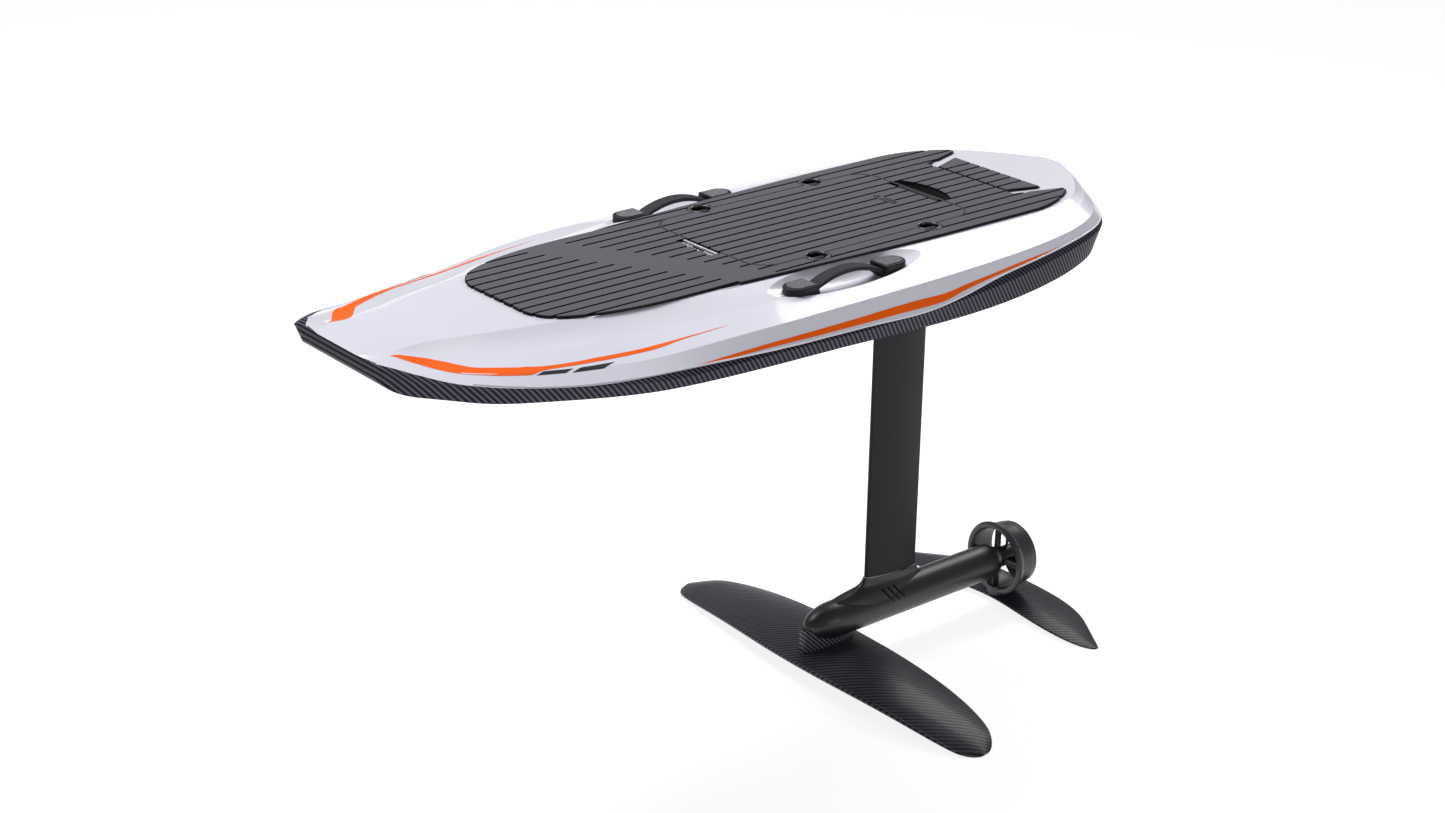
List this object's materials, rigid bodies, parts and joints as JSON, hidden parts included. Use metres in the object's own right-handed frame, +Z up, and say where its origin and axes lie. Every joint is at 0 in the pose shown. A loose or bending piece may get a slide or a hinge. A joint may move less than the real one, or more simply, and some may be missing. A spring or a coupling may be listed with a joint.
{
  "type": "electric hydrofoil surfboard",
  "caption": "Electric hydrofoil surfboard: white and carbon board, hatch, carry handles, mast, motor pod, ducted propeller and two wings.",
  "frame": {"origin": "on the floor, under the middle of the board's length and width, with the craft standing on its wings", "axes": "+X to the nose, +Y to port, +Z up from the wings to the deck"},
  "size_m": [1.758, 0.95, 1.0189],
  "materials": {
    "gelcoat": "gloss",
    "carbon": "gloss",
    "carbon_wing": "satin",
    "liner": "matte",
    "battery_case": "matte",
    "foam": "matte",
    "steel": "satin",
    "handle_plastic": "matte",
    "webbing": "matte",
    "mast_coat": "satin",
    "pod_coat": "satin",
    "nose_plastic": "satin",
    "duct_plastic": "satin",
    "propeller_plastic": "satin",
    "latch_plastic": "matte"
  },
  "bodies": {
    "board": {"deck_shell": "gelcoat", "hull_bottom": "carbon", "battery_bay": "liner", "battery_pack": "battery_case", "deck_pad": "foam", "tail_pad": "foam", "grip_recess": "liner", "hinge_bracket": "steel", "handle_feet": "handle_plastic", "handle_straps": "webbing", "mast": "mast_coat", "mast_plate": "mast_coat", "pod_nose": "nose_plastic", "mast_fairing": "nose_plastic", "motor_housing": "pod_coat", "motor": "steel", "tail_cone": "pod_coat", "duct_front_ring": "duct_plastic", "duct_rear_ring": "duct_plastic", "stator": "duct_plastic", "front_wing": "carbon_wing", "wing_saddle": "carbon_wing", "rear_wing": "carbon_wing", "rear_pylon": "duct_plastic"},
    "hatch": {"hatch_lid": "liner", "hatch_pad": "foam", "latch_cups": "latch_plastic", "latch_knobs": "latch_plastic", "key_slot": "latch_plastic", "grip_bar": "handle_plastic", "hinge_leaf": "steel"},
    "propeller_shaft_line": {"propeller_shaft": "steel", "propeller": "propeller_plastic", "spinner": "propeller_plastic"}
  },
  "joints": [
    {"name": "hatch_hinge", "type": "hinge", "parent": "board", "child": "hatch", "pos_m": [0.082, 0, 1.0115], "axis": [0, 1, 0], "range_deg": [0, 95]},
    {"name": "propeller_spin", "type": "hinge", "parent": "board", "child": "propeller_shaft_line", "pos_m": [-0.803, 0, 0.107], "axis": [1, 0, 0], "continuous": true}
  ]
}
